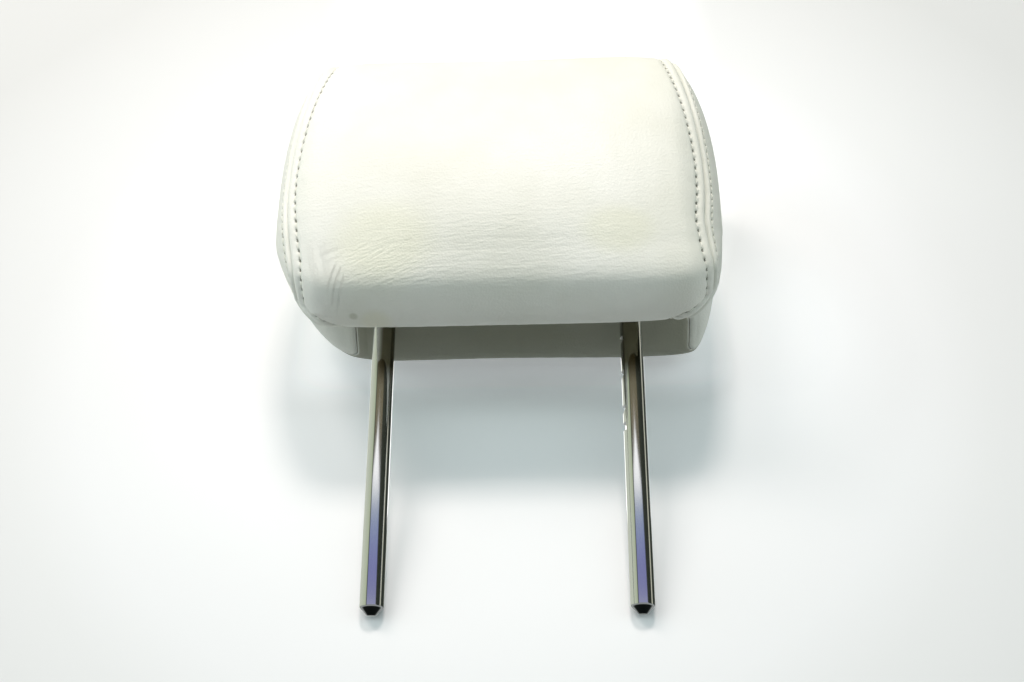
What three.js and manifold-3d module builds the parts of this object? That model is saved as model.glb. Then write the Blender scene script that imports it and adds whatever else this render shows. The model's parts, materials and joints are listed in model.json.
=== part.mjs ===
// Car headrest: a bent steel stay with two bare posts, clamped in a two-part
// moulded core, inside a foam pad with a sewn leather-cloth cover.
// Millimetres. Z runs up along the posts, X across the pad, and the face that
// the head meets looks towards -Y. The origin is midway between the post tips.
import * as THREE from 'three';
import { mergeVertices } from 'three/addons/utils/BufferGeometryUtils.js';
import Module from 'manifold-3d';

const wasm = await Module();
wasm.setup();

// Stay
const tubeDiameter = 12.7;
const tubeWall = 2;
const postSpacing = 142;
const postExposed = 172;
const stayRise = 80;
const bendRadius = 26;
const tipChamfer = 4.2;
const tipFlatDiameter = 4.6;
const tipWall = 3;
const drainHoleDiameter = 4;

// Height notches on one post
const notchDepth = 1.3;
const notchHeight = 4.6;
const notchRamp = 2.4;
const notchPitch = 20.5;
const notchCount = 3;
const firstNotchDrop = 17.5;
const stopNotchDrop = 10;

// Pad
const padWidth = 262;
const frontDepth = 58;
const rearDepth = 56;
const crownRise = 104.5;
const chinDrop = 77;
const valleyDepth = 18;
const valleyWidth = 14;

// Cover
const coverThickness = 3.3;
const seamThickness = 2.4;
const seamInset = 14;
const seamCrownDrop = 15;
const seamChinDrop = 18;
const seamTurnEnd = 0.4;
const seamTurnStart = 0.68;
const seamGap = 0.6;
const seamBand = 7;
const seamRamp = 1;
const ridgeHeight = 0.9;
const grooveDepth = 1.1;
const tapeWidth = 12;
const tapeThickness = 0.6;

// Core
const coreDepth = 20;
const coreMargin = 9;
const coreWall = 2.4;
const coreCorner = 12;
const coreLift = 17;
const ribThickness = 1.8;
const ribPitch = 30;

// Core screws
const screwDiameter = 3.6;
const screwLength = 18;
const screwHeadDiameter = 7.2;
const screwHeadHeight = 2.4;
const screwSeat = 4;
const bossWall = 1.8;
const lowerScrewSpan = 92;
const upperScrewSpan = 60;
const lowerScrewInset = 14;
const upperScrewInset = 15;

// Closure of the cover under the pad
const closureGap = 3;
const closureEnd = 8;
const hookLeg = 12;
const hookThickness = 1.2;
const hookLip = 3.2;
const hookOverlap = 2.6;
const troughMargin = 2;

// Clearances
const runningFit = 0.3;
const foamGap = 0.6;
const tapeGap = 0.5;
const postHoleGap = 0.5;
const partingGap = 0.3;

// Facets
const tubeSides = 24;
const boreSides = 16;
const bendSteps = 8;
const profileSteps = 3;
const meridianSamples = 80;
const cornerSteps = 5;

// Places that follow from the sizes
const tubeRadius = tubeDiameter / 2;
const postX = postSpacing / 2;
const undersideZ = postExposed;
const crossbarZ = undersideZ + stayRise;
const halfWidth = padWidth / 2;
const padCentreZ = undersideZ - valleyDepth + chinDrop;
const tapeInset = seamThickness + tapeGap;
const foamInset = coverThickness + foamGap;
const foamSeamInset = Math.max(foamInset, tapeInset + tapeThickness + 2 * tapeGap);

const colours = {
  leather: [0xe9e6d6, 0.55, 0],
  thread: [0xe2dfcd, 0.7, 0],
  foam: [0xd9c98f, 0.95, 0],
  chrome: [0xd8d9dc, 0.12, 1],
  polypropylene: [0x2c2d30, 0.6, 0],
  zinc: [0xb9bbb8, 0.35, 1],
};

const headrest = new THREE.Group();

function material(finish) {
  const [color, roughness, metalness] = colours[finish];
  return new THREE.MeshStandardMaterial({ color, roughness, metalness });
}

function addPart(name, geometry, finish) {
  const mesh = new THREE.Mesh(geometry, material(finish));
  mesh.name = name;
  headrest.add(mesh);
}

// Solids for joining and cutting

function toSolid(geometry) {
  const bare = geometry.clone();
  for (const key of Object.keys(bare.attributes)) {
    if (key !== 'position') bare.deleteAttribute(key);
  }
  const merged = mergeVertices(bare, 1e-4);
  return new wasm.Manifold(new wasm.Mesh({
    numProp: 3,
    vertProperties: new Float32Array(merged.attributes.position.array),
    triVerts: new Uint32Array(merged.index.array),
  }));
}

function toGeometry(solid) {
  const mesh = solid.getMesh();
  const geometry = new THREE.BufferGeometry();
  const stride = mesh.numProp;
  const count = mesh.vertProperties.length / stride;
  const positions = new Float32Array(count * 3);
  for (let i = 0; i < count; i += 1) {
    for (let k = 0; k < 3; k += 1) positions[3 * i + k] = mesh.vertProperties[stride * i + k];
  }
  geometry.setAttribute('position', new THREE.BufferAttribute(positions, 3));
  geometry.setIndex(Array.from(mesh.triVerts));
  return geometry;
}

function joined(geometries) {
  return geometries.map(toSolid).reduce((whole, piece) => whole.add(piece));
}

function cut(body, geometries) {
  const start = body instanceof THREE.BufferGeometry ? toSolid(body) : body;
  return geometries.map(toSolid).reduce((whole, tool) => whole.subtract(tool), start);
}

function box(x0, x1, y0, y1, z0, z1) {
  const geometry = new THREE.BoxGeometry(x1 - x0, y1 - y0, z1 - z0);
  return geometry.translate((x0 + x1) / 2, (y0 + y1) / 2, (z0 + z1) / 2);
}

// A rod centred on a point, along Y, or along Z when upright is true.
function rod(radius, x, y, z, length, upright = false, sides = 16) {
  const geometry = new THREE.CylinderGeometry(radius, radius, length, sides);
  if (upright) geometry.rotateX(Math.PI / 2);
  return geometry.translate(x, y, z);
}

function indexed(points, faces) {
  const geometry = new THREE.BufferGeometry();
  geometry.setAttribute('position', new THREE.Float32BufferAttribute(points.flatMap((p) => p.toArray()), 3));
  geometry.setIndex(faces);
  return geometry;
}

// Splits the four-sided face a, b, c, d along the diagonal that lies further
// out from the pad's centre, or further in.
function splitFace(points, [a, b, c, d], outward) {
  const centre = new THREE.Vector3(0, 0, padCentreZ);
  const reach = (i, j) => average([points[i], points[j]]).distanceTo(centre);
  return reach(a, c) > reach(b, d) === outward ? [a, b, c, a, c, d] : [a, b, d, b, c, d];
}

function average(points) {
  const sum = points.reduce((total, p) => total.add(p), new THREE.Vector3());
  return sum.divideScalar(points.length);
}

// Closed rings of equal count, skinned one to the next, with both ends filled
// up to a tip, which is the middle of the last ring where none is given.
function loft(rings, tips = [average(rings[0]), average(rings[rings.length - 1])]) {
  const around = rings[0].length;
  const points = rings.flat();
  const faces = [];
  for (let j = 0; j < rings.length - 1; j += 1) {
    for (let i = 0; i < around; i += 1) {
      const a = j * around + i;
      const b = j * around + (i + 1) % around;
      faces.push(...splitFace(points, [a, b, b + around, a + around], false));
    }
  }
  const last = (rings.length - 1) * around;
  points.push(...tips);
  const first = points.length - 2;
  for (let i = 0; i < around; i += 1) {
    const next = (i + 1) % around;
    faces.push(first, next, i, first + 1, last + i, last + next);
  }
  return indexed(points, faces);
}

// A band with an outer and an inner skin, closed on itself around each ring.
function band(outer, inner, outward) {
  const around = outer[0].length;
  const rows = outer.length;
  const points = [...outer.flat(), ...inner.flat()];
  const faces = [];
  const skin = rows * around;
  const quad = (...corners) => faces.push(...splitFace(points, corners, outward));
  for (let i = 0; i < around; i += 1) {
    const next = (i + 1) % around;
    for (let j = 0; j < rows - 1; j += 1) {
      const a = j * around + i;
      const b = j * around + next;
      quad(a, b, b + around, a + around);
      quad(skin + b, skin + a, skin + a + around, skin + b + around);
    }
    const top = (rows - 1) * around;
    quad(skin + i, skin + next, next, i);
    quad(top + i, top + next, skin + top + next, skin + top + i);
  }
  return indexed(points, faces);
}

// Pad form: a side profile, and a shoulder line that says how it shrinks from
// the middle of the pad to its two end caps.

const valleyRise = -1 + valleyDepth / chinDrop;

const profilePoints = [
  [-0.04, 1], [-0.54, 0.89], [-0.84, 0.564], [-0.98, 0.12],
  [-1, -0.34], [-0.85, -0.79], [-0.45, -1],
  [-valleyWidth / 2 / frontDepth, valleyRise],
  [valleyWidth / 2 / rearDepth, valleyRise],
  [0.46, -0.99], [0.8, -0.88], [0.98, -0.5],
  [1, 0.02], [0.875, 0.515], [0.5, 0.91],
];

const profileCurve = new THREE.CatmullRomCurve3(
  profilePoints.map(([depth, rise]) => new THREE.Vector3(
    0,
    depth * (depth < 0 ? frontDepth : rearDepth),
    rise * (rise < 0 ? chinDrop : crownRise),
  )),
  true,
);

const profileCount = profilePoints.length * profileSteps;

const profile = Array.from({ length: profileCount }, (_, i) => {
  const t = i / profileCount;
  return { point: profileCurve.getPoint(t), tangent: profileCurve.getTangent(t) };
});

const shoulderFront = new THREE.CubicBezierCurve(
  new THREE.Vector2(0, 1),
  new THREE.Vector2(0.4, 1),
  new THREE.Vector2(0.64, 1.02),
  new THREE.Vector2(0.77, 0.975),
);

const shoulderSide = new THREE.CubicBezierCurve(
  new THREE.Vector2(0.77, 0.975),
  new THREE.Vector2(0.84, 0.95),
  new THREE.Vector2(1, 0.68),
  new THREE.Vector2(1, 0),
);

// q runs from 0 in the middle of the pad to 2 at the end cap's centre.
function shoulder(q) {
  const curve = q < 1 ? shoulderFront : shoulderSide;
  const t = q < 1 ? q : q - 1;
  return { at: curve.getPoint(t), along: curve.getTangent(t) };
}

function surfacePoint(side, i, q, inset) {
  const { at, along } = shoulder(q);
  const { point, tangent } = profile[i];
  const place = new THREE.Vector3(halfWidth * at.x, point.y * at.y, point.z * at.y);
  const outward = new THREE.Vector3(halfWidth * along.x, point.y * along.y, point.z * along.y);
  const normal = new THREE.Vector3().crossVectors(tangent, outward).normalize();
  if (at.y < 1e-6) normal.set(1, 0, 0);
  if (normal.dot(new THREE.Vector3(at.x, point.y * at.y, point.z * at.y)) < 0) normal.negate();
  place.addScaledVector(normal, -inset);
  return new THREE.Vector3(side * place.x, place.y, place.z + padCentreZ);
}

// The seam bends inward over the crown, and turns in where it passes under.
function seamX(i) {
  const { y, z } = profile[i].point;
  if (z > 0) return halfWidth - seamInset - seamCrownDrop * (z / crownRise) ** 2;
  const depth = Math.abs(y) / (y < 0 ? frontDepth : rearDepth);
  const turn = 1 - THREE.MathUtils.smoothstep(depth, seamTurnEnd, seamTurnStart);
  return halfWidth - seamInset - seamChinDrop * turn;
}

// Lengths along the surface from the middle of the pad to one end cap.
const meridians = profile.map((_, i) => {
  const steps = [];
  let length = 0;
  let seam = 0;
  let previous = null;
  for (let k = 0; k <= meridianSamples; k += 1) {
    const q = (2 * k) / meridianSamples;
    const point = surfacePoint(1, i, q, 0);
    if (previous) length += point.distanceTo(previous);
    if (previous && previous.x < seamX(i) && point.x >= seamX(i)) {
      const share = (seamX(i) - previous.x) / (point.x - previous.x);
      seam = length - (1 - share) * point.distanceTo(previous);
    }
    steps.push({ q, length });
    previous = point;
  }
  return { steps, seam, end: length };
});

function lengthToQ(i, length) {
  const { steps } = meridians[i];
  const k = Math.max(1, steps.findIndex((step) => step.length >= length));
  const [low, high] = [steps[k - 1], steps[k]];
  return low.q + (high.q - low.q) * (length - low.length) / (high.length - low.length);
}

// A station is a share of the way to a limit, or a distance from the seam.
const inField = (share) => (m) => share * (m.seam - seamBand - seamRamp);
const fromSeam = (distance) => (m) => m.seam + distance;
const inCap = (share) => (m) => {
  const start = m.seam + seamBand + seamRamp;
  return start + share * (m.end - start);
};

function ring(side, station, inset) {
  return profile.map((_, i) => surfacePoint(side, i, lengthToQ(i, station(meridians[i])), inset));
}

// Mirrors a list of stations on one half of the pad into a list of both halves.
function bothHalves(stations) {
  const left = stations.slice(1).reverse().map((entry) => [-1, ...entry]);
  return [...left, ...stations.map((entry) => [1, ...entry])];
}

// Each row below: station, inset of the outer skin, inset of the inner skin.
const seamEdge = seamGap / 2;

const centrePanelRows = [
  [inField(0), 0, coverThickness],
  [inField(0.6), 0, coverThickness],
  [inField(0.85), 0, coverThickness],
  [inField(1), 0, coverThickness],
  [fromSeam(-seamBand), 0, seamThickness],
  [fromSeam(-seamBand / 2), -ridgeHeight, seamThickness],
  [fromSeam(-seamEdge), grooveDepth, seamThickness],
];

const endPanelRows = [
  [fromSeam(seamEdge), grooveDepth, seamThickness],
  [fromSeam(seamBand / 2), -ridgeHeight, seamThickness],
  [fromSeam(seamBand), 0, seamThickness],
  [inCap(0), 0, coverThickness],
  [inCap(0.35), 0, coverThickness],
  [inCap(0.7), 0, coverThickness],
];

function coverCentrePanel() {
  const rows = bothHalves(centrePanelRows);
  const outer = rows.map(([side, station, inset]) => ring(side, station, inset));
  const inner = rows.map(([side, station, , inset]) => ring(side, station, inset));
  const slotEnd = postX + tubeRadius + closureEnd;
  const slot = box(-slotEnd, slotEnd, -closureGap / 2, closureGap / 2, undersideZ - chinDrop / 2, undersideZ + chinDrop / 2);
  return toGeometry(cut(band(outer, inner, true), [slot, ...postHoles()]));
}

function postHoles() {
  return [-1, 1].map((side) => rod(tubeRadius + postHoleGap, side * postX, 0, undersideZ, stayRise, true));
}

// The end panel is a bowl: an outer skin, then its inner skin back to the seam.
function coverEndPanel(side) {
  const outer = endPanelRows.map(([station, inset]) => ring(side, station, inset));
  const inner = endPanelRows.map(([station, , inset]) => ring(side, station, inset)).reverse();
  const around = profileCount;
  const tip = (inset) => surfacePoint(side, 0, 2, inset);
  const rings = [...outer, ...inner];
  const points = [...rings.flat(), tip(0), tip(coverThickness)];
  const faces = [];
  const outerTip = points.length - 2;
  const innerTip = points.length - 1;
  const tri = (a, b, c) => (side > 0 ? faces.push(a, b, c) : faces.push(a, c, b));
  const rows = outer.length;
  const strip = (from, to) => {
    for (let i = 0; i < around; i += 1) {
      const next = (i + 1) % around;
      const corners = [from * around + i, from * around + next, to * around + next, to * around + i];
      const [a, b, c, d, e, f] = splitFace(points, corners, true);
      tri(a, b, c);
      tri(d, e, f);
    }
  };
  for (let j = 0; j < rows - 1; j += 1) {
    strip(j, j + 1);
    strip(rows + j, rows + j + 1);
  }
  strip(2 * rows - 1, 0);
  for (let i = 0; i < around; i += 1) {
    const next = (i + 1) % around;
    tri((rows - 1) * around + i, (rows - 1) * around + next, outerTip);
    tri(rows * around + next, rows * around + i, innerTip);
  }
  return indexed(points, faces);
}

function seamTape(side) {
  const reach = tapeWidth / 2;
  const stations = [fromSeam(-reach), fromSeam(0), fromSeam(reach)];
  if (side < 0) stations.reverse();
  const skin = (inset) => stations.map((station) => ring(side, station, inset));
  return band(skin(tapeInset), skin(tapeInset + tapeThickness), false);
}

// Stay: one tube bent into a tall arch

function stayPath(zStart) {
  const stations = [];
  const add = (x, z, angle) => stations.push({ x, z, angle });
  const bendZ = crossbarZ - bendRadius;
  const bendX = postX - bendRadius;
  add(-postX, zStart, 0);
  for (let k = 0; k <= bendSteps; k += 1) {
    const angle = (k / bendSteps) * Math.PI / 2;
    add(-bendX - bendRadius * Math.cos(angle), bendZ + bendRadius * Math.sin(angle), angle);
  }
  for (let k = 0; k <= bendSteps; k += 1) {
    const angle = Math.PI / 2 + (k / bendSteps) * Math.PI / 2;
    add(bendX - bendRadius * Math.cos(angle), bendZ + bendRadius * Math.sin(angle), angle);
  }
  add(postX, zStart, Math.PI);
  return stations;
}

function tubeRing({ x, z, angle }, radius, sides) {
  return Array.from({ length: sides }, (_, i) => {
    const turn = (i / sides) * 2 * Math.PI;
    const across = -radius * Math.cos(turn);
    return new THREE.Vector3(x + across * Math.cos(angle), -radius * Math.sin(turn), z - across * Math.sin(angle));
  });
}

function archSolid(radius, zStart, sides) {
  return loft(stayPath(zStart).map((station) => tubeRing(station, radius, sides)));
}

function stayBlank() {
  const path = stayPath(tipChamfer);
  const tips = [-1, 1].map((side) => ({ x: side * postX, z: 0, angle: side < 0 ? 0 : Math.PI }));
  return loft([
    tubeRing(tips[0], tipFlatDiameter / 2, tubeSides),
    ...path.map((station) => tubeRing(station, tubeRadius, tubeSides)),
    tubeRing(tips[1], tipFlatDiameter / 2, tubeSides),
  ]);
}

// A notch has a square shoulder above and a ramp below, except the stop notch.
function notchCutter(topZ, ramp) {
  const face = postX - tubeRadius;
  const outline = new THREE.Shape();
  outline.moveTo(face - notchDepth, topZ);
  outline.lineTo(face + notchDepth, topZ);
  outline.lineTo(face + notchDepth, topZ - notchHeight + ramp);
  outline.lineTo(face - notchDepth, topZ - notchHeight - ramp);
  const geometry = new THREE.ExtrudeGeometry(outline, { depth: tubeDiameter, bevelEnabled: false });
  geometry.rotateX(Math.PI / 2);
  return geometry.translate(0, tubeRadius, 0);
}

function stayTube() {
  const cutters = [archSolid(tubeRadius - tubeWall, tipChamfer + tipWall, boreSides)];
  const firstTop = undersideZ - firstNotchDrop;
  for (let k = 0; k < notchCount; k += 1) cutters.push(notchCutter(firstTop - k * notchPitch, notchRamp));
  const lastTop = firstTop - (notchCount - 1) * notchPitch;
  cutters.push(notchCutter(lastTop - stopNotchDrop, 0));
  cutters.push(rod(drainHoleDiameter / 2, 0, 0, crossbarZ - tubeRadius, tubeDiameter, true, 12));
  return toGeometry(cut(stayBlank(), cutters));
}

// Core: two ribbed trays that close on the arch and are screwed together

const coreHalfWidth = postX + tubeRadius + coreMargin;
const coreBottom = undersideZ + coreLift;
const coreTop = crossbarZ + tubeRadius + coreMargin;

const screwPlaces = [
  [-lowerScrewSpan / 2, coreBottom + lowerScrewInset],
  [lowerScrewSpan / 2, coreBottom + lowerScrewInset],
  [-upperScrewSpan / 2, crossbarZ - tubeRadius - upperScrewInset],
  [upperScrewSpan / 2, crossbarZ - tubeRadius - upperScrewInset],
];

function roundedRectangle(grow) {
  const shape = new THREE.Shape();
  const [x, low, high] = [coreHalfWidth + grow, coreBottom - grow, coreTop + grow];
  const r = Math.max(coreCorner + grow, 1);
  shape.moveTo(x - r, low);
  shape.absarc(x - r, low + r, r, -Math.PI / 2, 0, false);
  shape.absarc(x - r, high - r, r, 0, Math.PI / 2, false);
  shape.absarc(-x + r, high - r, r, Math.PI / 2, Math.PI, false);
  shape.absarc(-x + r, low + r, r, Math.PI, 1.5 * Math.PI, false);
  return shape;
}

// Extrudes an outline drawn in X and Z between two places along Y.
function slab(shape, y0, y1) {
  const options = { depth: y1 - y0, bevelEnabled: false, curveSegments: cornerSteps };
  const geometry = new THREE.ExtrudeGeometry(shape, options);
  geometry.rotateX(Math.PI / 2);
  return geometry.translate(0, y1, 0);
}

// Each tray is made on the front side, with y counted from the parting plane.
function coreHalf(side) {
  const inner = partingGap / 2;
  const at = (y0, y1) => (side > 0 ? [y0, y1] : [-y1, -y0]);
  const ringShape = roundedRectangle(0);
  ringShape.holes.push(roundedRectangle(-coreWall));
  const pieces = [
    slab(roundedRectangle(0), ...at(coreDepth - coreWall, coreDepth)),
    slab(ringShape, ...at(inner, coreDepth)),
  ];
  const ribInset = coreWall / 2;
  const [left, right] = [-coreHalfWidth + ribInset, coreHalfWidth - ribInset];
  const [low, high] = [coreBottom + ribInset, coreTop - ribInset];
  const [ribStart, ribEnd] = at(inner, coreDepth - ribInset);
  const columns = Math.floor((coreHalfWidth - coreWall) / ribPitch);
  for (let k = -columns; k <= columns; k += 1) {
    const x = k * ribPitch;
    pieces.push(box(x - ribThickness / 2, x + ribThickness / 2, ribStart, ribEnd, low, high));
  }
  const rows = Math.floor((coreTop - coreBottom) / ribPitch);
  for (let k = 1; k <= rows; k += 1) {
    const z = coreBottom + (k * (coreTop - coreBottom)) / (rows + 1);
    pieces.push(box(left, right, ribStart, ribEnd, z - ribThickness / 2, z + ribThickness / 2));
  }
  const hole = screwDiameter / 2 + runningFit;
  const pocket = screwHeadDiameter / 2 + runningFit;
  const bossRadius = (side > 0 ? pocket : hole) + bossWall;
  const cutters = [archSolid(tubeRadius + runningFit, undersideZ, tubeSides)];
  for (const [x, z] of screwPlaces) {
    const [y0, y1] = at(inner, coreDepth - ribInset);
    pieces.push(rod(bossRadius, x, (y0 + y1) / 2, z, y1 - y0));
    const reach = screwLength - screwSeat + 2 * runningFit;
    cutters.push(rod(hole, x, 0, z, 2 * Math.min(reach, coreDepth - 2 * coreWall)));
    if (side > 0) cutters.push(rod(pocket, x, screwSeat + coreDepth, z, 2 * coreDepth));
  }
  return toGeometry(cut(joined(pieces), cutters));
}

function coreScrew([x, z]) {
  const seat = screwSeat + runningFit;
  const headTop = seat + screwHeadHeight;
  const outline = [
    [0, seat - screwLength],
    [screwDiameter / 4, seat - screwLength + screwDiameter / 4],
    [screwDiameter / 2, seat - screwLength + screwDiameter],
    [screwDiameter / 2, seat],
    [screwHeadDiameter / 2, seat],
    [screwHeadDiameter / 2, headTop - screwHeadHeight / 3],
    [screwHeadDiameter / 2.6, headTop],
    [0, headTop],
  ];
  const geometry = new THREE.LatheGeometry(outline.map(([r, y]) => new THREE.Vector2(r, y)), 12);
  return geometry.translate(x, 0, z);
}

// Closure: two hooked strips that clasp each other between the posts. They lie
// over the top of the valley, which arches a little between its two corners.

const valleyProfile = profile.filter(({ point }) => point.z < 0 && Math.abs(point.y) < hookLeg);
const valleyTop = padCentreZ + Math.max(...valleyProfile.map(({ point }) => point.z));
const hookSpan = 2 * (postX - tubeRadius - postHoleGap - coverThickness);
const hookFloor = valleyTop + coverThickness + foamGap;
const hookHeight = 2 * hookThickness + hookLip;

// The strip is drawn in Y and Z for the front hem, and turned over for the rear.
function closureHook(side) {
  const flip = side > 0 ? -1 : 1;
  const tip = hookOverlap;
  const tail = hookOverlap - hookLeg;
  const lipTop = hookThickness + hookLip - runningFit;
  const points = [
    [tail, 0],
    [tip, 0],
    [tip, lipTop],
    [tip - hookThickness, lipTop],
    [tip - hookThickness, hookThickness],
    [tail, hookThickness],
  ];
  const shape = new THREE.Shape();
  points.forEach(([y, z], k) => {
    const height = side > 0 ? hookHeight - z : z;
    if (k === 0) shape.moveTo(flip * y, height);
    else shape.lineTo(flip * y, height);
  });
  const geometry = new THREE.ExtrudeGeometry(shape, { depth: hookSpan, bevelEnabled: false });
  geometry.applyMatrix4(new THREE.Matrix4().makeBasis(
    new THREE.Vector3(0, 1, 0),
    new THREE.Vector3(0, 0, 1),
    new THREE.Vector3(1, 0, 0),
  ));
  return geometry.translate(-hookSpan / 2, 0, hookFloor);
}

// Foam pad with its cavity for the core, channels for the posts and a trough
// over the closure

function foamPad() {
  const rows = bothHalves([
    [inField(0), foamInset],
    [inField(0.6), foamInset],
    [inField(0.85), foamInset],
    [inField(1), foamInset],
    [fromSeam(0), foamSeamInset],
    [inCap(0), foamInset],
    [inCap(0.35), foamInset],
    [inCap(0.7), foamInset],
  ]);
  const rings = rows.map(([side, station, inset]) => ring(side, station, inset));
  const blank = loft(rings, [-1, 1].map((side) => surfacePoint(side, 0, 2, foamInset)));
  const reach = hookLeg - hookOverlap + troughMargin;
  const end = hookSpan / 2 + foamGap;
  const troughTop = hookFloor + hookHeight + foamGap;
  return toGeometry(cut(blank, [
    slab(roundedRectangle(foamGap), -coreDepth - foamGap, coreDepth + foamGap),
    box(-end, end, -reach, reach, undersideZ - chinDrop / 2, troughTop),
    ...postHoles(),
  ]));
}

// A crossed recess would be too fine here, so the screw heads stay plain.
addPart('stay_tube', stayTube(), 'chrome');
addPart('core_front', coreHalf(-1), 'polypropylene');
addPart('core_rear', coreHalf(1), 'polypropylene');
screwPlaces.forEach((place, k) => addPart(`core_screw_${k + 1}`, coreScrew(place), 'zinc'));
addPart('foam_pad', foamPad(), 'foam');
addPart('cover_centre_panel', coverCentrePanel(), 'leather');
addPart('cover_end_panel_left', coverEndPanel(-1), 'leather');
addPart('cover_end_panel_right', coverEndPanel(1), 'leather');
addPart('seam_tape_left', seamTape(-1), 'thread');
addPart('seam_tape_right', seamTape(1), 'thread');
addPart('closure_hook_front', closureHook(-1), 'polypropylene');
addPart('closure_hook_rear', closureHook(1), 'polypropylene');

export default headrest;
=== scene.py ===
# A car headrest with a cream sewn cover, on two chromed posts.
# Metres. Z runs up along the posts, X across the pad, and the face that the
# head meets looks towards -Y. The origin is midway between the post tips.
import json
import math

import bpy
import numpy as np
from mathutils import Matrix, Vector, noise
from mathutils.kdtree import KDTree

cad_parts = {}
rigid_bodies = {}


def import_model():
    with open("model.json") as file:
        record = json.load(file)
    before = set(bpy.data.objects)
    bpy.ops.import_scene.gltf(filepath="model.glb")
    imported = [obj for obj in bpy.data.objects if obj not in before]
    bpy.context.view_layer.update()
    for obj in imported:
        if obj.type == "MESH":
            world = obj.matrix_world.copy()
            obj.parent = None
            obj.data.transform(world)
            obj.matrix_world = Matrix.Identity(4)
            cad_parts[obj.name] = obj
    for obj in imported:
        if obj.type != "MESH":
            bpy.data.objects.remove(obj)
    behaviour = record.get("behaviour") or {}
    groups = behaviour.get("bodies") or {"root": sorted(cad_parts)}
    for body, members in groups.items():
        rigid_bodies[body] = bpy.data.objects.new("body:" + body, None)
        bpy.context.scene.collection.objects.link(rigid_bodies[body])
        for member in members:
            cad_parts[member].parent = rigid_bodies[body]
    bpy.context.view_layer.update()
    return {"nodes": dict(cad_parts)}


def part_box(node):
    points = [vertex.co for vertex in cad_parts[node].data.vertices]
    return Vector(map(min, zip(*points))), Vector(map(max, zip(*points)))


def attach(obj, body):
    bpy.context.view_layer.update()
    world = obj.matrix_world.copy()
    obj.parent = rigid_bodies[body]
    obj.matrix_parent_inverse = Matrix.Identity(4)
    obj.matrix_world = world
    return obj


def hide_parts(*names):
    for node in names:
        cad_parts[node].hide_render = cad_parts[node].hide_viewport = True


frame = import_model()

MM = 0.001
SIDES = ((-1, "left"), (1, "right"))

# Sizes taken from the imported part
stay_low, stay_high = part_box("stay_tube")
_, cap_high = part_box("cover_end_panel_right")
hook_low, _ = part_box("closure_hook_front")

TUBE_DIAMETER = stay_high.y - stay_low.y
TUBE_RADIUS = TUBE_DIAMETER / 2
POST_X = stay_high.x - TUBE_RADIUS
CROSSBAR_Z = stay_high.z - TUBE_RADIUS
HALF_WIDTH = cap_high.x

# Sizes of the sewn cover, as in the part
FRONT_DEPTH = 58 * MM
REAR_DEPTH = 56 * MM
CROWN_RISE = 104.5 * MM
CHIN_DROP = 77 * MM
VALLEY_DEPTH = 18 * MM
VALLEY_WIDTH = 14 * MM
HOOK_LIFT = 5.12 * MM
UNDERSIDE_Z = hook_low.z - HOOK_LIFT
PAD_CENTRE_Z = UNDERSIDE_Z - VALLEY_DEPTH + CHIN_DROP
SEAM_X = HALF_WIDTH - 14 * MM
SEAM_CROWN_DROP = 15 * MM
SEAM_CHIN_DROP = 18 * MM
SEAM_CHIN_INSET = 1.6 * MM
SEAM_TURN_END = 0.4
SEAM_TURN_START = 0.68
CLOSURE_GAP = 3 * MM
CLOSURE_HALF_LENGTH = POST_X + TUBE_RADIUS + 8 * MM
POST_HOLE_RADIUS = TUBE_RADIUS + 0.5 * MM

# Wear: the pad has settled a little to the left above its posts
SETTLE = 4.6 * MM
SETTLE_START_Z = UNDERSIDE_Z - 4 * MM
SETTLE_HEIGHT = 42 * MM
FRONT_SAG = 1.1 * MM
SAG_LEAN = 1.0 * MM
CAPS_DRAWN_IN = 1.0 * MM
UNDERSIDE_SHIFT = 8 * MM

# Between what heights or depths each part of the wear fades in or out
FOOT_FADE = (UNDERSIDE_Z + 8 * MM, UNDERSIDE_Z + 48 * MM)
FRONT_FADE = (12 * MM, 34 * MM)
SHIFT_IN = (79 * MM, 94 * MM)
SHIFT_OUT = (99 * MM, 125 * MM)
REAR_LOW_FADE = (UNDERSIDE_Z + 18 * MM, UNDERSIDE_Z + 40 * MM)
REAR_FADE = (3 * MM, 12 * MM)

# Sewing
STITCH_PITCH = 5.2 * MM
INNER_ROW = -7.0 * MM
OUTER_ROW = 7.4 * MM
SEAM_HALF_GAP = 0.25 * MM
SKIN = 1.4 * MM
SEAM_FLATTENING = 0.85
THREAD_RADIUS = 0.42 * MM
STEPS_PER_STITCH = 5

# Height, middle and reach across the seam of its two ridges, of the groove
# between them, and of the hollows that the two rows of stitches pull
SEAM_WAVES = [
    (0.9 * MM, -3.2 * MM, 3.6 * MM),
    (1.2 * MM, 2.7 * MM, 2.9 * MM),
    (-2.4 * MM, 0.0, 1.5 * MM),
    (-0.55 * MM, INNER_ROW, 2.6 * MM),
    (-0.55 * MM, OUTER_ROW - 1.4 * MM, 2.4 * MM),
]

# Row, depth and width of the needle holes, and their length along the seam
PITS = [(INNER_ROW, 1.3 * MM, 0.8 * MM), (OUTER_ROW, 0.5 * MM, 0.6 * MM)]
PIT_LENGTH = 0.85 * MM

# Tucks beside the stitches
PUCKER_HEIGHT = 0.09 * MM
PUCKER_START = 6.5 * MM
PUCKER_MIDDLE = 8 * MM
PUCKER_FADE = 7 * MM

# Tape and foam
TAPE_WIDTH = 12 * MM
TAPE_THICKNESS = 0.5 * MM
TAPE_INSET = 2.9 * MM
TAPE_STEP = 2 * MM
FOAM_VOXEL = 2.4 * MM
FOAM_SHRINK = 0.5 * MM
FOAM_ROUGHNESS = 0.25 * MM
FOAM_CELLS = 260.0
FOAM_FREE = (1 * MM, 12 * MM)

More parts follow.
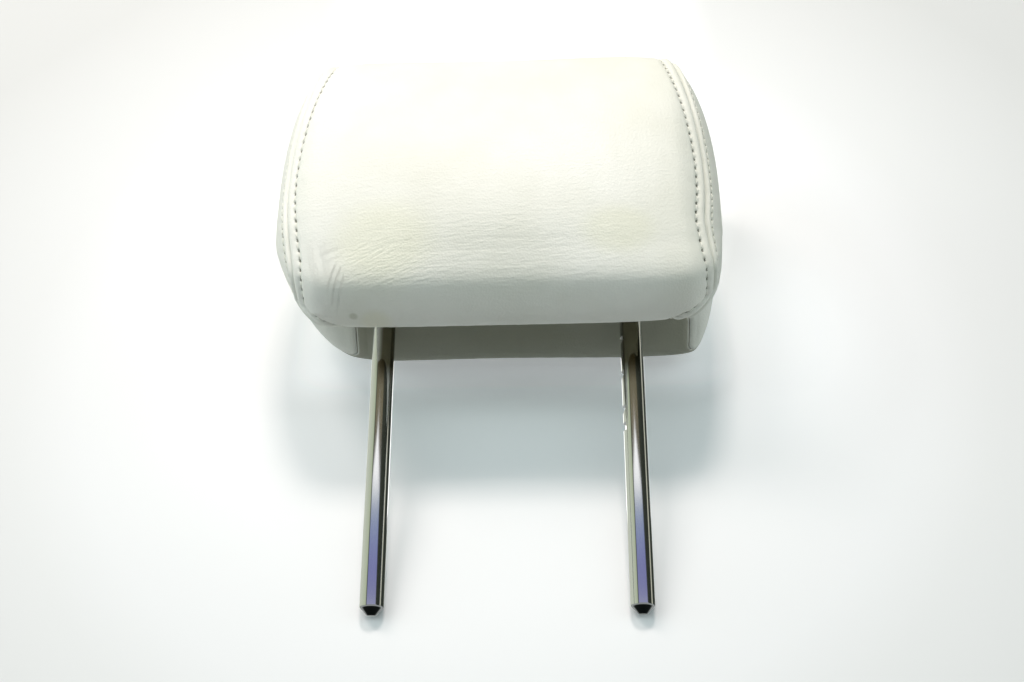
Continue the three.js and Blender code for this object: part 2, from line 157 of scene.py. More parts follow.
# Stay, as in the part
BEND_RADIUS = 26 * MM
TIP_CHAMFER = 4.2 * MM
TIP_FLAT_RADIUS = 2.3 * MM
TIP_EDGE = 0.5 * MM
NOTCH_DEPTH = 1.3 * MM
NOTCH_HEIGHT = 4.6 * MM
NOTCH_RAMP = 2.4 * MM
NOTCH_PITCH = 20.5 * MM
NOTCH_COUNT = 3
FIRST_NOTCH_DROP = 17.5 * MM
STOP_NOTCH_DROP = 10 * MM
TUBE_SIDES = 72
LEG_STEPS = 12
BEND_STEPS = 22

# Camera, fitted to both posts and to the pad's outline
FOCAL_PIXELS = 1100
IMAGE_WIDTH = 1024
SENSOR_WIDTH = 36.0
CAMERA_AZIMUTH = 2.5
CAMERA_ELEVATION = -21.8
CAMERA_PLACE = (0.0284, -0.5848, -0.0803)


# Helpers

def add_object(name, data):
    obj = bpy.data.objects.new(name, data)
    bpy.context.collection.objects.link(obj)
    return obj


def deselect():
    for other in bpy.context.selected_objects:
        other.select_set(False)


def activate(obj):
    deselect()
    obj.select_set(True)
    bpy.context.view_layer.objects.active = obj


def apply_modifier(obj, kind, **settings):
    activate(obj)
    modifier = obj.modifiers.new(kind.title(), kind)
    for key, value in settings.items():
        setattr(modifier, key, value)
    bpy.ops.object.modifier_apply(modifier=modifier.name)


def mesh_object(name, points, faces):
    data = bpy.data.meshes.new(name)
    data.from_pydata([tuple(p) for p in points], [], [tuple(f) for f in faces])
    data.update()
    return add_object(name, data)


def ring_faces(rings, sides, start=0):
    """Quads between one closed ring of points and the next."""
    faces = []
    for first in range(start, start + (rings - 1) * sides, sides):
        for k in range(sides):
            n = (k + 1) % sides
            faces.append((first + k, first + n, first + sides + n, first + sides + k))
    return faces


def strip_faces(rows, width):
    """Quads between one open row of points and the next, round to the first row."""
    faces = []
    for i in range(rows):
        here, beyond = i * width, (i + 1) % rows * width
        for j in range(width - 1):
            faces.append((here + j, here + j + 1, beyond + j + 1, beyond + j))
    return faces


def smooth(obj, degrees):
    activate(obj)
    bpy.ops.object.shade_smooth_by_angle(angle=math.radians(degrees))


def face_outwards(obj):
    activate(obj)
    bpy.ops.object.mode_set(mode="EDIT")
    bpy.ops.mesh.select_all(action="SELECT")
    bpy.ops.mesh.normals_make_consistent(inside=False)
    bpy.ops.object.mode_set(mode="OBJECT")


# Pad form: the same side profile and shoulder line as the part's

VALLEY_RISE = -1 + VALLEY_DEPTH / CHIN_DROP
PROFILE = [
    (-0.04, 1), (-0.54, 0.89), (-0.84, 0.564), (-0.98, 0.12),
    (-1, -0.54), (-0.925, -0.845), (-0.49, -1),
    (-VALLEY_WIDTH / 2 / FRONT_DEPTH, VALLEY_RISE),
    (VALLEY_WIDTH / 2 / REAR_DEPTH, VALLEY_RISE),
    (0.46, -0.99), (0.8, -0.88), (0.98, -0.5),
    (1, 0.02), (0.875, 0.515), (0.5, 0.91),
]
SHOULDER_FRONT = np.array([(0, 1), (0.4, 1), (0.64, 1.02), (0.77, 0.975)])
SHOULDER_SIDE = np.array([(0.77, 0.975), (0.84, 0.95), (1, 0.68), (1, 0)])


def profile_points(t):
    """Points of the closed centripetal spline through PROFILE, and its tangents."""
    knots = np.array([
        (y * (FRONT_DEPTH if y < 0 else REAR_DEPTH), z * (CHIN_DROP if z < 0 else CROWN_RISE))
        for y, z in PROFILE
    ])
    count = len(knots)
    place = (np.asarray(t) % 1.0) * count
    index = np.minimum(place.astype(int), count - 1)
    w = (place - index)[:, None]
    p0, p1, p2, p3 = (knots[(index + k) % count] for k in (-1, 0, 1, 2))
    d0, d1, d2 = (
        np.sqrt(np.linalg.norm(b - a, axis=1))[:, None]
        for a, b in ((p0, p1), (p1, p2), (p2, p3))
    )
    m1 = d1 * ((p1 - p0) / d0 - (p2 - p0) / (d0 + d1) + (p2 - p1) / d1)
    m2 = d1 * ((p2 - p1) / d1 - (p3 - p1) / (d1 + d2) + (p3 - p2) / d2)
    c2 = -3 * p1 + 3 * p2 - 2 * m1 - m2
    c3 = 2 * p1 - 2 * p2 + m1 + m2
    point = p1 + m1 * w + c2 * w ** 2 + c3 * w ** 3
    tangent = m1 + 2 * c2 * w + 3 * c3 * w ** 2
    return point, tangent


def bezier(points, t):
    t = t[..., None]
    a, b, c, d = points
    at = (1 - t) ** 3 * a + 3 * (1 - t) ** 2 * t * b + 3 * (1 - t) * t ** 2 * c + t ** 3 * d
    along = 3 * ((1 - t) ** 2 * (b - a) + 2 * (1 - t) * t * (c - b) + t ** 2 * (d - c))
    return at, along


def shoulder(q):
    """The shoulder line at q, from 0 in the middle of the pad to 2 at the cap's centre."""
    front_at, front_along = bezier(SHOULDER_FRONT, np.clip(q, 0, 1))
    side_at, side_along = bezier(SHOULDER_SIDE, np.clip(q - 1, 0, 1))
    front = (q < 1)[..., None]
    return np.where(front, front_at, side_at), np.where(front, front_along, side_along)


def surface(t, q):
    """Places and outward normals on the right half of the pad, for arrays t and q."""
    point, tangent = profile_points(t)
    at, along = shoulder(q)
    shape = at.shape[:-1]
    tile = (len(t),) + (1,) * (len(shape) - 1)
    py, pz, ty, tz = (column.reshape(tile) for column in (*point.T, *tangent.T))
    x, r = at[..., 0], at[..., 1]
    dx, dr = along[..., 0], along[..., 1]
    place = np.stack([HALF_WIDTH * x, py * r, pz * r], -1)
    outward = np.stack([HALF_WIDTH * dx, py * dr, pz * dr], -1)
    around = np.stack(np.broadcast_arrays(0 * x, ty + 0 * x, tz + 0 * x), -1)
    normal = np.cross(outward, around)
    normal /= np.maximum(np.linalg.norm(normal, axis=-1, keepdims=True), 1e-12)
    flip = np.sum(normal * place, -1, keepdims=True) < 0
    normal = np.where(flip, -normal, normal)
    normal = np.where((r < 1e-6)[..., None], np.array([1.0, 0, 0]), normal)
    place = place + np.array([0, 0, PAD_CENTRE_Z])
    return place, normal


def smoothstep(value, low, high):
    share = np.clip((value - low) / (high - low), 0, 1)
    return share * share * (3 - 2 * share)


def seam_x(t):
    """The seam bends inward over the crown, and turns in where it passes under."""
    point, _ = profile_points(t)
    y, z = point[:, 0], point[:, 1]
    depth = np.abs(y) / np.where(y < 0, FRONT_DEPTH, REAR_DEPTH)
    turn = 1 - smoothstep(depth, SEAM_TURN_END, SEAM_TURN_START)
    crown_drop = SEAM_CROWN_DROP * (z / CROWN_RISE) ** 2
    inset = SEAM_CHIN_INSET * smoothstep(-z / CHIN_DROP, 0.1, 0.5) * (1 - turn)
    return SEAM_X - np.where(z > 0, crown_drop, SEAM_CHIN_DROP * turn + inset)


MERIDIAN_STEPS = 400


class Grid:
    """Meridians of the pad at the places t, measured along the surface."""

    def __init__(self, t):
        self.t = np.asarray(t)
        self.q = np.linspace(0, 2, MERIDIAN_STEPS)
        q = np.broadcast_to(self.q, (len(self.t), MERIDIAN_STEPS))
        place, _ = surface(self.t, q)
        steps = np.linalg.norm(np.diff(place, axis=1), axis=-1)
        self.length = np.concatenate([np.zeros((len(self.t), 1)), np.cumsum(steps, 1)], 1)
        limit = seam_x(self.t)
        self.seam = np.array([
            np.interp(limit[i], place[i, :, 0], self.length[i]) for i in range(len(self.t))
        ])
        self.end = self.length[:, -1]
        self.stretch = self.slant()

    def slant(self):
        """How much longer a step along a meridian is than the same step square to the seam."""
        here, _ = self.at(self.seam[:, None])
        beyond, _ = self.at(self.seam[:, None] + MM)
        ahead = seam_point(self.t + 0.004) - seam_point(self.t - 0.004)
        ahead /= np.linalg.norm(ahead, axis=1, keepdims=True)
        outward = beyond[:, 0] - here[:, 0]
        outward /= np.linalg.norm(outward, axis=1, keepdims=True)
        square = np.linalg.norm(np.cross(ahead, outward), axis=1)
        return 1 / np.maximum(square, 0.6)

    def at(self, lengths):
        """Places and normals at the given lengths, one row for each meridian."""
        q = np.array([np.interp(row, self.length[i], self.q) for i, row in enumerate(lengths)])
        return surface(self.t, q)


SHOULDER_TABLE = shoulder(np.linspace(0, 2, MERIDIAN_STEPS))[0]


def seam_point(t):
    """Places on the smooth pad where the seam crosses the meridians t."""
    point, _ = profile_points(t)
    x = seam_x(t)
    shrink = np.interp(x / HALF_WIDTH, SHOULDER_TABLE[:, 0], SHOULDER_TABLE[:, 1])
    return np.stack([x, point[:, 0] * shrink, point[:, 1] * shrink + PAD_CENTRE_Z], -1)


def even_places(count):
    """Places round the profile that are evenly spaced along the seam."""
    t = np.linspace(0, 1, 1400, endpoint=False)
    seam = seam_point(t)
    loop = np.vstack([seam, seam[:1]])
    length = np.concatenate([[0], np.cumsum(np.linalg.norm(np.diff(loop, axis=0), axis=1))])
    wanted = np.arange(count) / count * length[-1]
    return np.interp(wanted, length, np.append(t, 1.0)), length[-1]


_, SEAM_LENGTH = even_places(8)
STITCHES = round(SEAM_LENGTH / STITCH_PITCH)
AROUND = STITCHES * STEPS_PER_STITCH
ALONG = np.arange(AROUND) * STITCH_PITCH / STEPS_PER_STITCH
fine_t, _ = even_places(AROUND)
fine = Grid(fine_t)


# Padding: the pad's form is inflated as cloth that its seams hold back

SIM_AROUND = 96
SIM_CLOTH = {
    "quality": 6, "mass": 0.3, "tension_stiffness": 12, "compression_stiffness": 12,
    "shear_stiffness": 6, "bending_stiffness": 0.6, "vertex_group_mass": "sewn",
    "use_pressure": True, "uniform_pressure_force": 4.0,
}
SIM_FRAMES = 20
SIM_CAP = 5.0 * MM
SIM_INSET = 1.5 * MM
SIM_SMOOTHING = 8


def simulated_swell():
    """Runs the cloth on a coarse closed pad and returns a lookup of how far it moved."""
    t, _ = even_places(SIM_AROUND)
    grid = Grid(t)
    shares = [0, 0.12, 0.25, 0.38, 0.5, 0.61, 0.71, 0.8, 0.88, 0.94, 1.0]
    caps = [0.12, 0.28, 0.46, 0.64, 0.82]
    lengths = np.stack(
        [share * grid.seam for share in shares]
        + [grid.seam + share * (grid.end - grid.seam) for share in caps], 1)
    place, normal = grid.at(lengths)
    place = place - SIM_INSET * normal
    seam_row = len(shares) - 1
    points = []
    pinned = []
    columns = place.shape[1]
    order = [(-1, j) for j in range(columns - 1, 0, -1)] + [(1, j) for j in range(columns)]
    for side, j in order:
        for i in range(SIM_AROUND):
            x, y, z = place[i, j]
            near_closure = abs(y) < 7 * MM and z < PAD_CENTRE_Z - 0.7 * CHIN_DROP
            if j == seam_row or near_closure:
                pinned.append(len(points))
            points.append((side * x, y, z))
    faces = ring_faces(len(order), SIM_AROUND)
    for start, side in ((0, -1), ((len(order) - 1) * SIM_AROUND, 1)):
        tip = len(points)
        points.append((side * (HALF_WIDTH - SIM_INSET), 0, PAD_CENTRE_Z))
        for i in range(SIM_AROUND):
            faces.append((start + i, start + (i + 1) % SIM_AROUND, tip))
    pad = mesh_object("swelling", points, faces)
    face_outwards(pad)
    group = pad.vertex_groups.new(name="sewn")
    group.add(pinned, 1.0, "REPLACE")
    cloth = pad.modifiers.new("Cloth", "CLOTH")
    for key, value in SIM_CLOTH.items():
        setattr(cloth.settings, key, value)
    cloth.settings.effector_weights.gravity = 0
    scene = bpy.context.scene
    for number in range(1, SIM_FRAMES + 1):
        scene.frame_set(number)
    shape = pad.evaluated_get(bpy.context.evaluated_depsgraph_get()).data
    moved = np.array([v.co for v in shape.vertices])
    scene.frame_set(1)
    start = np.array(points)
    shift = moved - start
    length = np.linalg.norm(shift, axis=1, keepdims=True)
    shift *= np.minimum(1, SIM_CAP / np.maximum(length, 1e-9))
    bpy.data.objects.remove(pad)
    sheet = shift[:len(order) * SIM_AROUND].reshape(len(order), SIM_AROUND, 3)
    for _ in range(SIM_SMOOTHING):
        beside = np.roll(sheet, 1, 1) + np.roll(sheet, -1, 1)
        beside[1:-1] += sheet[:-2] + sheet[2:]
        beside[[0, -1]] += 2 * sheet[[0, -1]]
        sheet = (sheet + beside) / 5
        sheet.reshape(-1, 3)[pinned] = 0
    shift[:len(order) * SIM_AROUND] = sheet.reshape(-1, 3)
    tree = KDTree(len(start))
    for k, point in enumerate(start):
        tree.insert(point, k)
    tree.balance()
    return tree, shift


def swell_at(lookup, place):
    """The simulated shift at a place, blended from the nearest coarse points."""
    tree, shift = lookup
    total = np.zeros(3)
    weight = 0
    for _, index, distance in tree.find_n(Vector(place), 5):
        share = 1 / (distance + 2 * MM) ** 2
        total += share * shift[index]
        weight += share
    return total / weight


# Surface relief of the cover

def bump(value, middle, width):
    """A smooth hill of height 1 at middle that ends width away on both sides."""
    reach = np.clip(np.abs(value - middle) / width, 0, 1)
    return (1 + np.cos(np.pi * reach)) / 2


def seam_relief(across):
    """Height of the twin seam's ridges and groove at a distance across the seam."""
    return sum(height * bump(across, middle, reach) for height, middle, reach in SEAM_WAVES)


def stitch_pits(across, along):
    """The holes that the needle leaves, one to each stitch of both rows."""
    phase = (along / STITCH_PITCH + 0.5) % 1.0 - 0.5
    beat = np.exp(-(phase * STITCH_PITCH / PIT_LENGTH) ** 2)
    hole_shade = sum(depth * np.exp(-((across - row) / width) ** 2) for row, depth, width in PITS)
    return -beat * hole_shade


def puckers(across, along, side):
    """Short tucks that run from the stitch rows into the panels."""
    away = np.abs(across)
    fade = np.exp(-np.abs(away - PUCKER_MIDDLE) / PUCKER_FADE) * (away > PUCKER_START)
    waves = np.sin(2 * np.pi * along / (2 * STITCH_PITCH) + 2.2 * side)
    waves += 0.8 * np.sin(2 * np.pi * along / (3.3 * STITCH_PITCH) + 1.3)
    return PUCKER_HEIGHT * fade * waves


def relief(side, across, along, place):
    """Height of the sewn surface over the smooth one."""
    sewn = seam_relief(across) + stitch_pits(across, along) + puckers(across, along, side)
    return sewn * (1 - SEAM_FLATTENING * rear_underside(place))


def rear_underside(place):
    """1 on the rear half of the underside, where the seam is pressed flat, and 0 elsewhere."""
    low = 1 - smoothstep(place[..., 2], *REAR_LOW_FADE)
    return low * smoothstep(place[..., 1], *REAR_FADE)


def settled(points):
    """Gives the pad the lean and sag of use.

    It leans to the left above its underside, its front edge hangs lower at the
    left, its caps are drawn in at the foot, and the rear seams sit to the right.
    """
    x, y, z = (points[..., axis] for axis in range(3))
    moved = points.copy()
    moved[..., 0] -= SETTLE * smoothstep(z, SETTLE_START_Z, SETTLE_START_Z + SETTLE_HEIGHT)
    foot = 1 - smoothstep(z, *FOOT_FADE)
    moved[..., 0] -= CAPS_DRAWN_IN * foot * x / HALF_WIDTH
    front = smoothstep(-y, *FRONT_FADE)
    moved[..., 2] -= foot * front * (FRONT_SAG - SAG_LEAN * x / HALF_WIDTH)
    beside = smoothstep(np.abs(x), *SHIFT_IN) * (1 - smoothstep(np.abs(x), *SHIFT_OUT))
    moved[..., 0] += UNDERSIDE_SHIFT * rear_underside(points) * beside
    return moved


# Panels

def panel_rows(lengths_of):
    """Places, normals and distances across the seam for a list of stations."""
    lengths = np.stack([station(fine) for station in lengths_of], 1)
    place, normal = fine.at(lengths)
    return place, normal, (lengths - fine.seam[:, None]) / fine.stretch[:, None]


def spaced(low, high, step):
    count = max(2, round(abs(high - low) / step) + 1)
    return np.linspace(low, high, count)


BAND = 11 * MM
BAND_STEP = 0.75 * MM
FIELD_ROWS = 46
CAP_ROWS = 26
TIP_DISTANCE = 60 * MM


def from_seam(distance):
    return lambda grid: grid.seam + distance * grid.stretch


def in_field(share):
    return lambda grid: share * (grid.seam - BAND * grid.stretch)


def in_cap(share):
    return lambda grid: grid.end - (1 - share) * (grid.end - grid.seam - BAND * grid.stretch)


def dressed(side, place, normal, across, lookup):
    """Moves the smooth surface to its simulated and sewn form, on one side."""
    along = np.broadcast_to(ALONG[:, None], across.shape)
    height = relief(side, across, along, place)
    points = place + height[..., None] * normal
    points[..., 0] *= side
    if lookup:
        flat = points.reshape(-1, 3)
        shift = np.array([swell_at(lookup, p) for p in flat])
        points = (flat + shift).reshape(points.shape)
    return settled(points)


def lay_uv(obj, across, along):
    """A UV map in millimetres: U along the seam, V across it."""
    layer = obj.data.uv_layers.new(name="sewing")
    index = np.empty(len(obj.data.loops), dtype=np.int32)
    obj.data.loops.foreach_get("vertex_index", index)
    u, v = along[index], across[index]
    total = STITCHES * STITCH_PITCH / MM
    for face in obj.data.polygons:
        loops = list(face.loop_indices)
        if np.ptp(u[loops]) > total / 2:
            u[loops] = np.where(u[loops] < total / 2, u[loops] + total, u[loops])
    layer.data.foreach_set("uv", np.stack([u, v], -1).astype(np.float32).ravel())


def centre_panel(lookup):
    """The panel that wraps front, crown, back and underside, slit at the closure."""
    stations = [in_field(s) for s in np.linspace(0, 1, FIELD_ROWS)]
    stations += [from_seam(d) for d in spaced(-BAND, -SEAM_HALF_GAP, BAND_STEP)[1:]]
    place, normal, across = panel_rows(stations)
    halves = {side: dressed(side, place, normal, across, lookup) for side in (-1, 1)}
    points = np.concatenate([halves[-1][:, :0:-1], halves[1]], 1)
    width = points.shape[1]
    flat = points.reshape(-1, 3)
    quads = strip_faces(AROUND, width)
    faces = [corners for corners in quads if not is_open(flat[list(corners)])]
    obj = mesh_object("cover_centre", flat, faces)
    distance = np.concatenate([across[:, :0:-1], across], 1).ravel()
    lay_uv(obj, distance / MM, np.repeat(ALONG, width) / MM)
    return obj


def is_open(corners):
    """True where the underside is left open for the closure or for a post."""
    x, y, z = corners.mean(0)
    if z > PAD_CENTRE_Z - CHIN_DROP / 2:
        return False
    if abs(y) < CLOSURE_GAP / 2 and abs(x) < CLOSURE_HALF_LENGTH:
        return True
    return math.hypot(abs(x) - POST_X, y) < POST_HOLE_RADIUS


def end_panel(side, label, lookup):
    """One end cap of the cover, closed by a fan of triangles."""
    stations = [from_seam(d) for d in spaced(SEAM_HALF_GAP, BAND, BAND_STEP)]
    stations += [in_cap(s) for s in np.linspace(0, 1, CAP_ROWS, endpoint=False)[1:]]
    place, normal, across = panel_rows(stations)
    points = dressed(side, place, normal, across, lookup)
    width = len(stations)
    flat = points.reshape(-1, 3)
    tip = len(flat)
    flat = np.vstack([flat, points[:, -1].mean(0)])
    last = [i * width + width - 1 for i in range(AROUND)]
    fan = [(here, tip, beyond) for here, beyond in zip(last, last[1:] + last[:1])]
    obj = mesh_object(f"cover_cap_{label}", flat, strip_faces(AROUND, width) + fan)
    distance = np.append(across.ravel(), TIP_DISTANCE)
    along = np.append(np.repeat(ALONG, width), 0)
    lay_uv(obj, distance / MM, along / MM)
    return obj


def finish_sheet(obj, thickness, degrees):
    face_outwards(obj)
    apply_modifier(obj, "SOLIDIFY", thickness=thickness, offset=-1, use_rim=True)
    smooth(obj, degrees)


# Stitches

THREAD_RINGS = 5
THREAD_SIDES = 6
THREAD_SPAN = (0.16, 0.84)


def thread_row(name, side, row, lookup):
    """One row of topstitching: a short bowed thread between each two holes."""
    rings, sides = THREAD_RINGS, THREAD_SIDES
    points = []
    faces = []
    for k in range(STITCHES):
        steps = (k + np.linspace(*THREAD_SPAN, rings)) * STEPS_PER_STITCH
        t = np.interp(steps, np.arange(AROUND + 1), np.append(fine_t, 1 + fine_t[0]))
        grid = Grid(t)
        place, normal = grid.at((grid.seam + row * grid.stretch)[:, None])
        place, normal = place[:, 0], normal[:, 0]
        bow = np.sin(np.linspace(0, np.pi, rings))
        flat = SEAM_FLATTENING * rear_underside(place)
        height = seam_relief(np.array([row]))[0] * (1 - flat)
        height = height + THREAD_RADIUS * (0.9 * bow - 0.5 - 3.2 * flat)
        centre = place + normal * height[:, None]
        centre[:, 0] *= side
        normal = normal * np.array([side, 1, 1])
        if lookup:
            centre = centre + swell_at(lookup, centre[rings // 2])
        centre = settled(centre)
        tangent = np.gradient(centre, axis=0)
        tangent /= np.linalg.norm(tangent, axis=1, keepdims=True)
        cross = np.cross(tangent, normal)
        start = len(points)
        for a in range(rings):
            radius = THREAD_RADIUS * (0.55 + 0.45 * bow[a])
            for b in range(sides):
                turn = 2 * math.pi * b / sides
                out = math.cos(turn) * cross[a] + math.sin(turn) * normal[a]
                points.append(centre[a] + radius * out)
        faces += ring_faces(rings, sides, start)
        faces.append(tuple(start + b for b in reversed(range(sides))))
        faces.append(tuple(start + (rings - 1) * sides + b for b in range(sides)))
    obj = mesh_object(name, points, faces)
    face_outwards(obj)
    smooth(obj, 80)
    return obj


def seam_tape(side, label):
    """The woven tape under one seam: a thin band that bridges both panels' edges."""
    stations = [from_seam(d) for d in spaced(-TAPE_WIDTH / 2, TAPE_WIDTH / 2, TAPE_STEP)]
    place, normal, _ = panel_rows(stations)
    points = place - TAPE_INSET * normal
    points[..., 0] *= side
    flat = settled(points).reshape(-1, 3)
    obj = mesh_object(f"backing_tape_{label}", flat, strip_faces(AROUND, len(stations)))
    finish_sheet(obj, TAPE_THICKNESS, 60)
    return obj


def clearance(points):
    """The distance of each point from the boxes of the hard pieces inside the foam."""
    nearest = np.full(len(points), 1.0)
    for name in ("core_front", "core_rear", "closure_hook_front", "closure_hook_rear"):
        low, high = (np.array(corner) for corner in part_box(name))
        outside = np.maximum(0, np.maximum(low - points, points - high))
        nearest = np.minimum(nearest, np.linalg.norm(outside, axis=1))
    for side in (-1, 1):
        from_axis = np.hypot(points[:, 0] - side * POST_X, points[:, 1]) - TUBE_RADIUS
        nearest = np.minimum(nearest, np.maximum(0, from_axis))
    return nearest


def foam_block():
    """The moulded foam: the part's own form with soft edges and an uneven cut face."""
    solid = frame["nodes"]["foam_pad"]
    block = add_object("moulded_foam", solid.data.copy())
    block.data.transform(solid.matrix_world)
    block.data.materials.clear()
    apply_modifier(block, "REMESH", mode="VOXEL", voxel_size=FOAM_VOXEL, use_smooth_shade=True)
    apply_modifier(block, "SMOOTH", factor=0.5, iterations=3)
    points = np.array([v.co for v in block.data.vertices])
    free = smoothstep(clearance(points), *FOAM_FREE)[:, None]
    moved = points + free * (settled(points) - points)
    inward = -np.array([v.normal for v in block.data.vertices])
    rough = np.array([noise.noise(Vector(p) * FOAM_CELLS) for p in points])
    moved += inward * (FOAM_SHRINK + FOAM_ROUGHNESS * rough)[:, None]
    block.data.vertices.foreach_set("co", moved.astype(np.float32).ravel())
    block.data.update()
    return block


# Stay

def tip_outline():
    """Radius and height of the rings of one post's tip: a flat, a cone and a rounded edge."""
    flat = TIP_FLAT_RADIUS
    cone = TIP_CHAMFER / (TUBE_RADIUS - flat)
    edge = TIP_EDGE
    return [
        (flat - edge / 2, 0.0),
        (flat, edge / 6),
        (flat + edge / 2, edge / 2 * cone),
        (TUBE_RADIUS - edge, TIP_CHAMFER - edge * cone),
        (TUBE_RADIUS - edge / 3, TIP_CHAMFER - edge / 6),
        (TUBE_RADIUS, TIP_CHAMFER + edge),
    ]


def stay_rings():
    """Radius, place and heading of each ring, from the left tip over the arch to the right."""
    bend_x = POST_X - BEND_RADIUS
    bend_z = CROSSBAR_Z - BEND_RADIUS
    leg = [(radius, -POST_X, z, 0.0) for radius, z in tip_outline()]
    for z in np.linspace(TIP_CHAMFER + 2 * TIP_EDGE, bend_z, LEG_STEPS)[:-1]:
        leg.append((TUBE_RADIUS, -POST_X, z, 0.0))
    for angle in np.linspace(0, math.pi / 2, BEND_STEPS):
        x = -bend_x - BEND_RADIUS * math.cos(angle)
        leg.append((TUBE_RADIUS, x, bend_z + BEND_RADIUS * math.sin(angle), angle))
    other = [(radius, -x, z, math.pi - angle) for radius, x, z, angle in reversed(leg)]
    return leg + other


def stay_tube():
    """The bent tube, turned fine enough for a mirror finish, with its notches cut."""
    rings = stay_rings()
    points = []
    for radius, x, z, angle in rings:
        for k in range(TUBE_SIDES):
            turn = 2 * math.pi * k / TUBE_SIDES
            across = -radius * math.cos(turn)
            points.append((
                x + across * math.cos(angle),
                -radius * math.sin(turn),
                z - across * math.sin(angle)))
    faces = ring_faces(len(rings), TUBE_SIDES)
    last = (len(rings) - 1) * TUBE_SIDES
    faces.append(tuple(range(TUBE_SIDES)))
    faces.append(tuple(last + k for k in range(TUBE_SIDES)))
    tube = mesh_object("bent_stay", points, faces)
    face_outwards(tube)
    cutter = notch_cutters()
    apply_modifier(tube, "BOOLEAN", operation="DIFFERENCE", object=cutter, solver="EXACT")
    bpy.data.objects.remove(cutter)
    smooth(tube, 24)
    return tube


BOX_FACES = ("0123", "7654", "0451", "1562", "2673", "3740")


def notch_cutters():
    """The height notches of the right post: square above, ramped below, and a square stop."""
    first = UNDERSIDE_Z - FIRST_NOTCH_DROP
    tops = [(first - k * NOTCH_PITCH, NOTCH_RAMP) for k in range(NOTCH_COUNT)]
    tops.append((tops[-1][0] - STOP_NOTCH_DROP, 0.0))
    face = POST_X - TUBE_RADIUS
    points = []
    faces = []
    for top, rise in tops:
        start = len(points)
        for y in (-TUBE_DIAMETER, TUBE_DIAMETER):
            points += [
                (face - NOTCH_DEPTH, y, top),
                (face + NOTCH_DEPTH, y, top),
                (face + NOTCH_DEPTH, y, top - NOTCH_HEIGHT + rise),
                (face - NOTCH_DEPTH, y, top - NOTCH_HEIGHT - rise),
            ]
        faces += [tuple(start + int(k) for k in quad) for quad in BOX_FACES]
    cutter = mesh_object("notch_cutters", points, faces)
    face_outwards(cutter)
    return cutter


# Materials

# Marks of use: the middle and half sizes of each, and its tint
STAINS = [
    ((-0.064, -0.056, 0.190), (0.036, 0.03, 0.032), "#fbfbf2"),
    ((0.062, -0.056, 0.194), (0.026, 0.03, 0.018), "#fbfbf3"),
    ((-0.070, -0.034, 0.154), (0.012, 0.012, 0.008), "#faf9f0"),
    ((-0.0818, -0.0390, 0.1535), (0.0034, 0.0034, 0.0034), "#e1e2da"),
    ((-0.0048, -0.0410, 0.1535), (0.0029, 0.0029, 0.0029), "#e0e1d9"),
]

# Painted shade in the trough of the underside, and where it starts and is full
TROUGH_SHADE_TINT = "#b9b8ae"
TROUGH_LOW = (UNDERSIDE_Z + 44 * MM, UNDERSIDE_Z + 30 * MM)
TROUGH_SHADE_FRONT = (-10 * MM, 2 * MM)
TROUGH_SHADE_REAR = (46 * MM, 34 * MM)
TROUGH_SHADE_INSIDE_SEAM = (-0.2, -1.4)

# Painted shade in the needle holes: row, reach in millimetres and tint, the shares of the reach
# at which they start and are full, and where they end on the underside
HOLE_SHADES = [(INNER_ROW, 1.0, "#8b8a82"), (OUTER_ROW, 0.7, "#bfbeb4")]
HOLE_ALONG = (1.1, 0.5)
HOLE_ACROSS = (1.0, 0.45)
HOLES_END = (-4 * MM, 6 * MM)

# The dark reflection painted on each post next to the pad: the post's axis, and where it starts,
# is full and ends across the post
PAINTED_REFLECTION_TINT = "#6f6b58"
PAINTED_REFLECTION_RISE = (124 * MM, 140 * MM)
PAINTED_REFLECTION_EDGE = 0.8 * MM
PAINTED_REFLECTIONS = [
    (-POST_X, -4.2 * MM, 1.0 * MM, 8.0 * MM),
    (POST_X, -7.5 * MM, -4.5 * MM, 4.3 * MM),
]

# Colours of the coating, by its blotches
BLOTCH_STOPS = [(0.38, "#e1e3d8"), (0.62, "#e9ebe3")]

# Grain in cells to the metre: pebbles of 1.25 mm, and wrinkles with their turn from
# level, drawn out along X. The slanted ones are drawn to the folds.
PEBBLE_SCALE = 800.0
PEBBLE_SHARE = 0.7
WRINKLE_STRETCH = 0.22
LEVEL_WRINKLES = (3, 560.0)
SLANTED_WRINKLES = (26, 480.0)
SLANTED_SHARE = 3.0
SLANTED_NEAR = ((-0.062, -0.054, 0.176), (0.042, 0.05, 0.022), 0.7)
LOW_FACE = ((0.0, -0.054, 0.178), (0.11, 0.05, 0.040), 0.6)

# Folds: middle, half sizes, turn from upright, pitch, sharpness and height
FOLDS = [
    ((-0.0895, -0.051, 0.167), (0.006, 0.04, 0.012), -20, 0.0034, 0.88, 4.5),
    ((-0.100, -0.052, 0.180), (0.012, 0.04, 0.016), 14, 0.0075, 0.55, 1.0),
    ((-0.093, -0.053, 0.184), (0.010, 0.04, 0.008), -70, 0.0052, 0.80, 0.6),
]


def linear(hex_colour):
    """An sRGB hex value as linear red, green, blue and alpha."""
    parts = [int(hex_colour[i:i + 2], 16) / 255 for i in (1, 3, 5)]
    return [p / 12.92 if p <= 0.04045 else ((p + 0.055) / 1.055) ** 2.4 for p in parts] + [1.0]


def node(tree, kind, links=(), **settings):
    """Adds a shader node, sets its properties and sockets by name, and links its inputs."""
    made = tree.nodes.new("ShaderNode" + kind)
    for key, value in settings.items():
        if hasattr(made, key):
            setattr(made, key, value)
        else:
            made.inputs[key.replace("_", " ")].default_value = value
    for socket, source in dict(links).items():
        tree.links.new(source, made.inputs[socket])
    return made


def new_material(name, **settings):
    """A material with shader settings, its tree and its shader."""
    material = bpy.data.materials.new(name)
    material.use_nodes = True
    tree = material.node_tree
    shader = tree.nodes["Principled BSDF"]
    for key, value in settings.items():
        shader.inputs[key.replace("_", " ")].default_value = value
    return material, tree, shader


